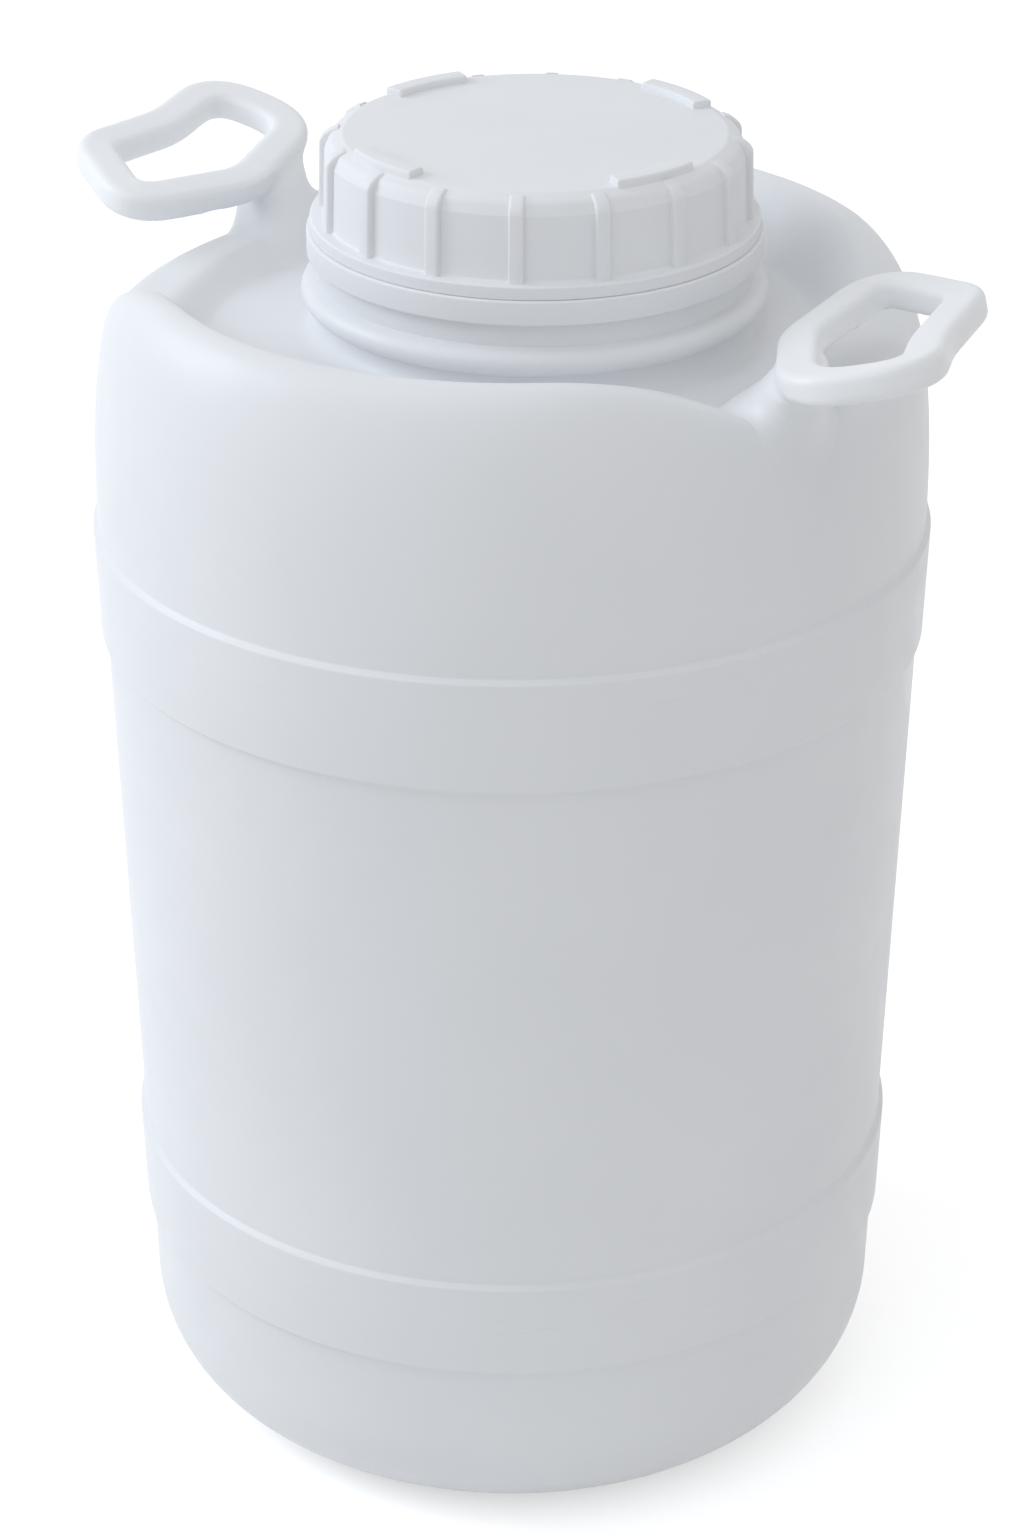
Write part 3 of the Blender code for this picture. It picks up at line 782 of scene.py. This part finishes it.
def rib_tree():
    """Ribs that rise up the cap's skirt and bend over its edge, spread evenly round the cap."""
    tree, given, result = start_tree("cap_ribs")
    ids = add_inputs(tree, {
        "Count": CAP_RIB_COUNT,
        "Phase": CAP_PHASE,
        "Width": CAP_RIB_WIDTH,
        "Depth": CAP_RIB_DEPTH,
        "Rounding": CAP_RIB_ROUNDING,
    })
    rib = swept_bar(tree, given, closed=False)
    finish_tree(tree, given, result, copies_round_circle(tree, given, rib))
    return tree, ids


def lug_tree():
    """Low arc lugs on the cap's rim."""
    tree, given, result = start_tree("cap_lugs")
    ids = add_inputs(tree, {
        "Count": LUG_COUNT,
        "Phase": LUG_PHASE,
        "Radius": LUG_RADIUS,
        "Arc": LUG_ARC,
        "Width": LUG_WIDTH,
        "Depth": LUG_HEIGHT,
        "Rounding": LUG_ROUNDING,
    })
    arc = tree.nodes.new("GeometryNodeCurveArc")
    arc.inputs["Resolution"].default_value = 24
    start = tree.nodes.new("ShaderNodeMath")
    start.operation = "MULTIPLY"
    start.inputs[1].default_value = -0.5
    upright = tree.nodes.new("GeometryNodeSetCurveNormal")
    upright.mode = "Z_UP"
    sweep = tree.nodes.new("GeometryNodeCurveToMesh")
    sweep.inputs["Fill Caps"].default_value = True
    section = rounded_section(tree, given, "Width", "Depth", "Rounding")
    tree.links.new(given.outputs["Radius"], arc.inputs["Radius"])
    tree.links.new(given.outputs["Arc"], start.inputs[0])
    tree.links.new(start.outputs[0], arc.inputs["Start Angle"])
    tree.links.new(given.outputs["Arc"], arc.inputs["Sweep Angle"])
    tree.links.new(arc.outputs["Curve"], upright.inputs["Curve"])
    tree.links.new(upright.outputs["Curve"], sweep.inputs["Curve"])
    tree.links.new(section, sweep.inputs["Profile Curve"])
    finish_tree(tree, given, result, copies_round_circle(tree, given, sweep.outputs["Mesh"]))
    return tree, ids


def thread_tree():
    """A screw thread as a section swept along a rising spiral."""
    tree, given, result = start_tree("screw_thread")
    ids = add_inputs(tree, {
        "Radius": NECK_RADIUS,
        "Turns": THREAD_TURNS,
        "Rise": THREAD_PITCH * THREAD_TURNS,
        "Width": THREAD_WIDTH,
        "Depth": THREAD_PROUD,
        "Rounding": THREAD_ROUNDING,
    })
    spiral = tree.nodes.new("GeometryNodeCurveSpiral")
    spiral.inputs["Resolution"].default_value = 160
    upright = tree.nodes.new("GeometryNodeSetCurveNormal")
    upright.mode = "Z_UP"
    sweep = tree.nodes.new("GeometryNodeCurveToMesh")
    sweep.inputs["Fill Caps"].default_value = True
    section = rounded_section(tree, given, "Depth", "Width", "Rounding")
    tree.links.new(given.outputs["Turns"], spiral.inputs["Rotations"])
    tree.links.new(given.outputs["Radius"], spiral.inputs["Start Radius"])
    tree.links.new(given.outputs["Radius"], spiral.inputs["End Radius"])
    tree.links.new(given.outputs["Rise"], spiral.inputs["Height"])
    tree.links.new(spiral.outputs["Curve"], upright.inputs["Curve"])
    tree.links.new(upright.outputs["Curve"], sweep.inputs["Curve"])
    tree.links.new(section, sweep.inputs["Profile Curve"])
    finish_tree(tree, given, result, sweep.outputs["Mesh"])
    return tree, ids


def bar_tree():
    """A rounded bar swept along a closed path."""
    tree, given, result = start_tree("loop_bar")
    ids = add_inputs(tree, {
        "Width": BAR_WIDTH,
        "Depth": BAR_THICKNESS,
        "Rounding": BAR_ROUNDING,
    })
    finish_tree(tree, given, result, swept_bar(tree, given, closed=True))
    return tree, ids


def path_mesh(name, points, normals, closed):
    """A line of points, each with the direction that its section's depth points in."""
    count = len(points)
    edges = [(k, (k + 1) % count) for k in range(count if closed else count - 1)]
    mesh = bpy.data.meshes.new(name)
    mesh.from_pydata([tuple(p) for p in points], edges, [])
    directions = mesh.attributes.new("bar_normal", "FLOAT_VECTOR", "POINT")
    for k, normal in enumerate(normals):
        directions.data[k].vector = normal
    return mesh


def softened(name, mesh, width):
    """A mesh with its sharp edges rounded."""
    carrier = carrier_of(name, mesh)
    soften = carrier.modifiers.new("soften", "BEVEL")
    soften.width = width
    soften.segments = 3
    soften.limit_method = "ANGLE"
    soften.angle_limit = math.radians(50)
    return plain_mesh(name, carrier, soften)


def join_meshes(name, meshes):
    shape = bmesh.new()
    for mesh in meshes:
        shape.from_mesh(mesh)
    joined = bpy.data.meshes.new(name)
    shape.to_mesh(joined)
    shape.free()
    return joined


def rib_path():
    """One rib's centre line up the skirt and over the edge, with its outward directions."""
    inset = 0.5 * CAP_RIB_DEPTH
    points = [Vector((CAP_PANEL_RADIUS + CAP_RIB_PROUD - inset, 0.0, CAP_FLANGE_TOP - CAP_RIB_ROOT))]
    normals = [Vector((1.0, 0.0, 0.0))]
    steps = 12
    for k in range(steps + 1):
        a = 0.5 * math.pi - CAP_RIB_BEND * k / steps
        outward = Vector((math.sin(a), 0.0, math.cos(a)))
        r = CAP_DISC_RADIUS + (CAP_EDGE_RADIUS + CAP_RIB_PROUD * math.sin(a)) * math.sin(a)
        z = CAP_TOP - CAP_EDGE_RADIUS * (1.0 - math.cos(a))
        points.append(Vector((r, 0.0, z)) - outward * inset)
        normals.append(outward)
    return path_mesh("rib_path", points, normals, closed=False)


def make_cap(material):
    corners = [
        (0.0, CAP_TOP, 0.0),
        (CAP_DISC_RADIUS - CAP_DISC_INSET, CAP_TOP, CAP_DISC_ROUNDING),
        (CAP_DISC_RADIUS + CAP_CHAMFER_OUT, CAP_TOP - CAP_CHAMFER_DOWN, CAP_CHAMFER_ROUNDING),
        (CAP_DISC_RADIUS + CAP_EDGE_RADIUS, CAP_TOP - CAP_SKIRT_DOWN, CAP_SKIRT_ROUNDING),
        (CAP_PANEL_RADIUS, CAP_FLANGE_TOP, CAP_SKIRT_ROUNDING),
        (CAP_FLANGE_RADIUS, CAP_FLANGE_TOP, CAP_FLANGE_ROUNDING),
        (CAP_FLANGE_RADIUS, CAP_BOTTOM, CAP_LIP_ROUNDING),
        (CAP_INNER_RADIUS, CAP_BOTTOM, CAP_LIP_ROUNDING),
        (CAP_INNER_RADIUS, CAP_INNER_TOP, CAP_FLANGE_ROUNDING),
        (0.0, CAP_INNER_TOP, 0.0),
    ]
    shell = turned_piece("cap_shell", corners, NECK_AXIS, 8)
    add_piece("cap_shell", shell, material, "cap", "screw_cap")

    tree, ids = rib_tree()
    ribs = grown_mesh("cap_ribs", tree, {
        ids["Count"]: CAP_RIB_COUNT,
        ids["Phase"]: CAP_PHASE,
        ids["Width"]: CAP_RIB_WIDTH,
        ids["Depth"]: CAP_RIB_DEPTH,
        ids["Rounding"]: CAP_RIB_ROUNDING,
        ids["Material"]: material,
    }, rib_path())
    ribs = point_faces_out(ribs)
    ribs.transform(Matrix.Translation(NECK_AXIS))
    add_piece("cap_ribs", ribs, material, "cap")

    tree, ids = lug_tree()
    lugs = grown_mesh("cap_lugs", tree, {
        ids["Count"]: LUG_COUNT,
        ids["Phase"]: LUG_PHASE,
        ids["Radius"]: LUG_RADIUS,
        ids["Arc"]: LUG_ARC,
        ids["Width"]: LUG_WIDTH,
        ids["Depth"]: LUG_HEIGHT + LUG_ROOT,
        ids["Rounding"]: LUG_ROUNDING,
        ids["Material"]: material,
    })
    lugs = softened("cap_lugs", lugs, LUG_SOFTNESS)
    lug_middle = CAP_TOP + 0.5 * (LUG_HEIGHT - LUG_ROOT)
    lugs.transform(Matrix.Translation(NECK_AXIS + Vector((0.0, 0.0, lug_middle))))
    add_piece("cap_lugs", lugs, material, "cap")


def make_threads(neck_material, cap_material):
    tree, ids = thread_tree()
    rise = THREAD_PITCH * THREAD_TURNS
    depth = THREAD_PROUD + THREAD_ROOT
    neck_radius = NECK_RADIUS + THREAD_PROUD - 0.5 * depth
    neck_bottom = RIM_HEIGHT - rise - THREAD_BELOW_RIM
    cap_radius = CAP_INNER_RADIUS - THREAD_PROUD + 0.5 * depth
    cap_bottom = CAP_BOTTOM + THREAD_ABOVE_LIP
    places = (
        ("neck_thread", neck_radius, neck_bottom, neck_material, "drum"),
        ("cap_thread", cap_radius, cap_bottom, cap_material, "cap"),
    )
    for name, radius, bottom, material, body in places:
        thread = grown_mesh(name, tree, {
            ids["Radius"]: radius,
            ids["Turns"]: THREAD_TURNS,
            ids["Rise"]: rise,
            ids["Width"]: THREAD_WIDTH,
            ids["Depth"]: depth,
            ids["Rounding"]: THREAD_ROUNDING,
            ids["Material"]: material,
        })
        thread.transform(Matrix.Translation(NECK_AXIS + Vector((0.0, 0.0, bottom))))
        add_piece(name, thread, material, body)


def make_tamper_ring(material):
    corners = [
        (TAMPER_INNER_RADIUS, TAMPER_BOTTOM, 0.0),
        (TAMPER_RADIUS, TAMPER_BOTTOM, TAMPER_ROUNDING),
        (TAMPER_RADIUS, TAMPER_TOP, TAMPER_TOP_ROUNDING),
        (TAMPER_INNER_RADIUS, TAMPER_TOP, TAMPER_ROUNDING),
    ]
    mesh = turned_ring("tamper_band", corners, NECK_AXIS)
    add_piece("tamper_band", mesh, material, "drum", "tamper_ring")


def make_gasket(material):
    outer = NECK_RADIUS + GASKET_OVERLAP
    inner = NECK_BORE - GASKET_OVERLAP
    corners = [
        (inner, GASKET_BOTTOM, 0.0),
        (outer, GASKET_BOTTOM, GASKET_ROUNDING),
        (outer, GASKET_TOP, GASKET_ROUNDING),
        (inner, GASKET_TOP, GASKET_ROUNDING),
    ]
    mesh = turned_ring("seal_ring", corners, NECK_AXIS)
    add_piece("seal_ring", mesh, material, "gasket", "cap_gasket")


def loop_path():
    """The loop's closed centre line, softly bent at its corners, with the bar's upward directions."""
    origin = Vector((WALL_TOP_RADIUS, 0.0, WELL_HEIGHT))
    places = [origin + Vector(corner[:3]) for corner in LOOP_CORNERS]
    points = []
    steps = 12
    for k, here in enumerate(places):
        before = places[k - 1] - here
        after = places[(k + 1) % len(places)] - here
        half_angle = 0.5 * before.angle(after)
        longest = LOOP_BEND_SHARE * min(before.length, after.length)
        reach = min(LOOP_CORNERS[k][3] / math.tan(half_angle), longest)
        start = here + before.normalized() * reach
        end = here + after.normalized() * reach
        for j in range(steps + 1):
            share = j / steps
            points.append(start.lerp(here, share).lerp(here.lerp(end, share), share))
    level = Vector((-math.sin(LOOP_TILT), 0.0, math.cos(LOOP_TILT)))
    normals = []
    for k in range(len(points)):
        ahead = (points[(k + 1) % len(points)] - points[k - 1]).normalized()
        across = ahead.cross(level).normalized()
        normals.append(across.cross(ahead))
    return path_mesh("loop_path", points, normals, closed=True)


def stem_point(angle, share, stem):
    """A point on the side of a stem, from its foot (0) to its top (1)."""
    foot, foot_half, low, narrowing = stem
    c = math.copysign(abs(math.cos(angle)) ** STEM_SQUARENESS, math.cos(angle))
    s = math.copysign(abs(math.sin(angle)) ** STEM_SQUARENESS, math.sin(angle))
    across = Vector((math.cos(POST_TURN), math.sin(POST_TURN)))
    along = Vector((-math.sin(POST_TURN), math.cos(POST_TURN)))
    half = foot_half.lerp(POST_TOP_HALF, narrowing(share))
    spot = foot.lerp(POST_TOP, share) + across * (half.x * c) + along * (half.y * s)
    return Vector((spot.x, spot.y, low + (POST_TOP_HEIGHT - low) * share))


def stem_mesh(stem):
    count = 64
    steps = 24
    rows = []
    for k in range(steps + 1):
        rows.append([stem_point(2.0 * math.pi * j / count, k / steps, stem) for j in range(count)])
    low = [sum(rows[0], Vector()) / count]
    high = [sum(rows[-1], Vector()) / count]
    return mesh_from_rows("stem", [low] + rows + [high])


def settle_on_skin(mesh):
    """Let a stem run out softly down the dome, and keep its underside just below the drum's skin."""
    for vertex in mesh.vertices:
        spot = vertex.co
        reach = math.hypot(spot.x, spot.y)
        skin = dome_radius(spot.z) - ROOT_DEPTH
        if reach > skin:
            kept = smooth_step((spot.z - LOBE_END) / (LOBE_START - LOBE_END))
            scale = (skin + (reach - skin) * kept) / reach
            spot.x *= scale
            spot.y *= scale
        spot.z = max(spot.z, shoulder_height(spot.x, spot.y) - ROOT_DEPTH)
    return mesh


def slab(name, outer, inner):
    """Two grids of points, closed along their borders."""
    rows = len(outer)
    columns = len(outer[0])
    points = [tuple(p) for row in outer + inner for p in row]

    def at(side, row, column):
        return (side * rows + row) * columns + column

    faces = []
    for r in range(rows - 1):
        for c in range(columns - 1):
            for side in (0, 1):
                faces.append((at(side, r, c), at(side, r, c + 1), at(side, r + 1, c + 1), at(side, r + 1, c)))
        for c in (0, columns - 1):
            faces.append((at(0, r, c), at(0, r + 1, c), at(1, r + 1, c), at(1, r, c)))
    for c in range(columns - 1):
        for r in (0, rows - 1):
            faces.append((at(0, r, c), at(0, r, c + 1), at(1, r, c + 1), at(1, r, c)))
    mesh = bpy.data.meshes.new(name)
    mesh.from_pydata(points, [], faces)
    return point_faces_out(mesh)


def seat_mesh(middle):
    """A thin piece of the drum's own skin round a post, just under the surface."""
    centre = math.atan2(middle.y, middle.x)
    steps = 70
    layers = []
    for depth in SEAT_DEPTHS:
        grid = []
        for r, z in shoulder_line(depth)[SEAT_FIRST_ROW:]:
            row = []
            for k in range(steps + 1):
                angle = centre + SEAT_SPREAD * (2.0 * k / steps - 1.0)
                row.append(shoulder_point(r, z, angle, depth))
            grid.append(row)
        layers.append(grid)
    return slab("seat", layers[0], layers[1])


def relax(shape, vertices, passes):
    """Move each point most of the way to the middle of its neighbours, a number of times."""
    axes = {"use_axis_x": True, "use_axis_y": True, "use_axis_z": True}
    for _ in range(passes):
        bmesh.ops.smooth_vert(shape, verts=vertices, factor=SOFTENING_SHARE, **axes)


def fused(name, mesh, middle):
    """Overlapping closed shapes melted into one skin, with a wide soft root where the post meets the drum."""
    carrier = carrier_of(name, mesh)
    melt = carrier.modifiers.new("melt", "REMESH")
    melt.mode = "VOXEL"
    melt.voxel_size = HANDLE_VOXEL
    result = plain_mesh(name, carrier, melt)
    shape = bmesh.new()
    shape.from_mesh(result)
    relax(shape, shape.verts, FIRST_SOFTENING)
    root = []
    for vertex in shape.verts:
        near = math.hypot(vertex.co.x - middle.x, vertex.co.y - middle.y) < SEAT_REACH
        if near and above_skin(vertex.co) > -ROOT_LIMIT:
            root.append(vertex)
    relax(shape, [vertex for vertex in root if vertex.co.z < BAR_UNDERSIDE], BAR_SOFTENING)
    relax(shape, [vertex for vertex in root if vertex.co.z < SEAT_TOP], SEAT_SOFTENING)
    shape.to_mesh(result)
    shape.free()
    return result


def make_handles(material):
    tree, ids = bar_tree()
    bar = grown_mesh("bar", tree, {
        ids["Width"]: BAR_WIDTH,
        ids["Depth"]: BAR_THICKNESS,
        ids["Rounding"]: BAR_ROUNDING,
        ids["Material"]: material,
    }, loop_path())
    bar = point_faces_out(bar)
    post_low = POST_TOP_HEIGHT - POST_DEPTH
    post = stem_mesh((POST_FOOT, POST_FOOT_HALF, post_low, lambda share: share ** 2))
    flare = stem_mesh((FLARE_FOOT, FLARE_FOOT_HALF, FLARE_LOW, lambda share: 1.0 - (1.0 - share) ** 2))
    for name, node, turn, shift in HANDLES:
        place = Matrix.Translation(shift) @ Matrix.Rotation(turn, 4, "Z")
        middle = place @ POST_FOOT.lerp(POST_TOP, 0.5).to_3d()
        parts = [seat_mesh(middle)]
        for source in (bar, post, flare):
            part = source.copy()
            part.transform(place)
            parts.append(part if source is bar else settle_on_skin(part))
        whole = join_meshes(name + "_parts", parts)
        add_piece(name, fused(name, whole, middle), material, "drum", node)


def seen_rays(nodes, links):
    """One for rays from the camera, straight, reflected or let through, and zero for light that falls."""
    rays = nodes.new("ShaderNodeLightPath")
    total = rays.outputs["Is Camera Ray"]
    for kind in ("Is Glossy Ray", "Is Transmission Ray"):
        add = nodes.new("ShaderNodeMath")
        add.operation = "ADD"
        add.use_clamp = True
        links.new(total, add.inputs[0])
        links.new(rays.outputs[kind], add.inputs[1])
        total = add.outputs[0]
    return total


def make_stage():
    floor_mesh = bpy.data.meshes.new("floor")
    size = FLOOR_HALF_SIZE
    corners = [(-size, -size, 0.0), (size, -size, 0.0), (size, size, 0.0), (-size, size, 0.0)]
    floor_mesh.from_pydata(corners, [], [(0, 1, 2, 3)])
    floor = bpy.data.objects.new("floor", floor_mesh)
    bpy.context.scene.collection.objects.link(floor)
    material = bpy.data.materials.new("pale_floor")
    material.use_nodes = True
    nodes = material.node_tree.nodes
    links = material.node_tree.links
    shader = nodes["Principled BSDF"]
    shader.inputs["Base Color"].default_value = (0.86, 0.86, 0.86, 1.0)
    shader.inputs["Roughness"].default_value = 0.9
    shader.inputs["Specular IOR Level"].default_value = 0.0
    glow = nodes.new("ShaderNodeEmission")
    glow.inputs["Color"].default_value = (1.0, 1.0, 1.0, 1.0)
    seen = nodes.new("ShaderNodeMath")
    seen.operation = "MULTIPLY"
    seen.inputs[1].default_value = FLOOR_GLOW
    both = nodes.new("ShaderNodeAddShader")
    links.new(seen_rays(nodes, links), seen.inputs[0])
    links.new(seen.outputs[0], glow.inputs["Strength"])
    links.new(shader.outputs["BSDF"], both.inputs[0])
    links.new(glow.outputs["Emission"], both.inputs[1])
    links.new(both.outputs["Shader"], nodes["Material Output"].inputs["Surface"])
    floor_mesh.materials.append(material)


def camera_axes():
    right = Vector((math.cos(CAMERA_TURN), math.sin(CAMERA_TURN), 0.0))
    away = Vector((-math.sin(CAMERA_TURN), math.cos(CAMERA_TURN), 0.0))
    return right, away


def make_camera():
    right, away = camera_axes()
    place = away * -CAMERA_DISTANCE + Vector((0.0, 0.0, CAMERA_HEIGHT))
    ahead = away * math.cos(CAMERA_PITCH) - Vector((0.0, 0.0, math.sin(CAMERA_PITCH)))
    up = right.cross(ahead)
    lens = bpy.data.cameras.new("photo_camera")
    lens.sensor_fit = "VERTICAL"
    lens.sensor_height = 36.0
    lens.lens = CAMERA_LENS
    camera = bpy.data.objects.new("photo_camera", lens)
    turn = Matrix((right, up, -ahead)).transposed()
    camera.matrix_world = Matrix.Translation(place) @ turn.to_4x4()
    bpy.context.scene.collection.objects.link(camera)
    bpy.context.scene.camera = camera


def area_light(name, place, target, size, power):
    lamp = bpy.data.lights.new(name, "AREA")
    lamp.size = size
    lamp.energy = power
    lamp.color = LIGHT_COLOUR
    holder = bpy.data.objects.new(name, lamp)
    holder.location = place
    holder.rotation_euler = (target - place).to_track_quat("-Z", "Y").to_euler()
    bpy.context.scene.collection.objects.link(holder)


def make_light():
    right, away = camera_axes()
    target = Vector((0.0, 0.0, LIGHT_TARGET_HEIGHT))
    aside = right * -math.sin(KEY_SIDE) - away * math.cos(KEY_SIDE)
    key_direction = aside * math.cos(KEY_RISE) + Vector((0.0, 0.0, math.sin(KEY_RISE)))
    area_light("key", target + key_direction * KEY_DISTANCE, target, KEY_SIZE, KEY_LIGHT)
    top_place = right * -TOP_LEFT + away * -TOP_NEAR + Vector((0.0, 0.0, TOP_HEIGHT))
    area_light("top", top_place, target, TOP_SIZE, TOP_LIGHT)
    world = bpy.data.worlds.new("studio")
    bpy.context.scene.world = world
    world.use_nodes = True
    nodes = world.node_tree.nodes
    links = world.node_tree.links
    room = nodes["Background"]
    room.inputs["Color"].default_value = (1.0, 1.0, 1.0, 1.0)
    room.inputs["Strength"].default_value = ROOM_LIGHT
    white = nodes.new("ShaderNodeBackground")
    white.inputs["Color"].default_value = (1.0, 1.0, 1.0, 1.0)
    white.inputs["Strength"].default_value = 1.0
    pick = nodes.new("ShaderNodeMixShader")
    links.new(seen_rays(nodes, links), pick.inputs["Fac"])
    links.new(room.outputs["Background"], pick.inputs[1])
    links.new(white.outputs["Background"], pick.inputs[2])
    links.new(pick.outputs["Shader"], nodes["World Output"].inputs["Surface"])
    bpy.context.scene.view_settings.view_transform = "Standard"


def make_all():
    shell = moulded_plastic("blown_shell", SHELL_COLOUR, SHELL_SHADE, SHELL_ROUGHNESS, SHELL_GRAIN,
                            streaks=SHELL_FLOW_LINES, scuffed_bands=HOOPS)
    # The handle's loops carry a painted highlight: their upper part is painted lighter
    handle = moulded_plastic("moulded_handle", SHELL_COLOUR, SHELL_SHADE, HANDLE_ROUGHNESS, SHELL_GRAIN,
                             painted_highlight=LOOP_HIGHLIGHT_COLOUR)
    cap = moulded_plastic("moulded_cap", CAP_COLOUR, CAP_SHADE, CAP_ROUGHNESS, CAP_GRAIN)
    make_camera()
    make_drum_skin(shell)
    make_handles(handle)
    make_cap(cap)
    make_threads(shell, cap)
    make_tamper_ring(cap)
    make_gasket(foam_rubber("gasket_foam"))
    make_stage()
    make_light()


make_all()
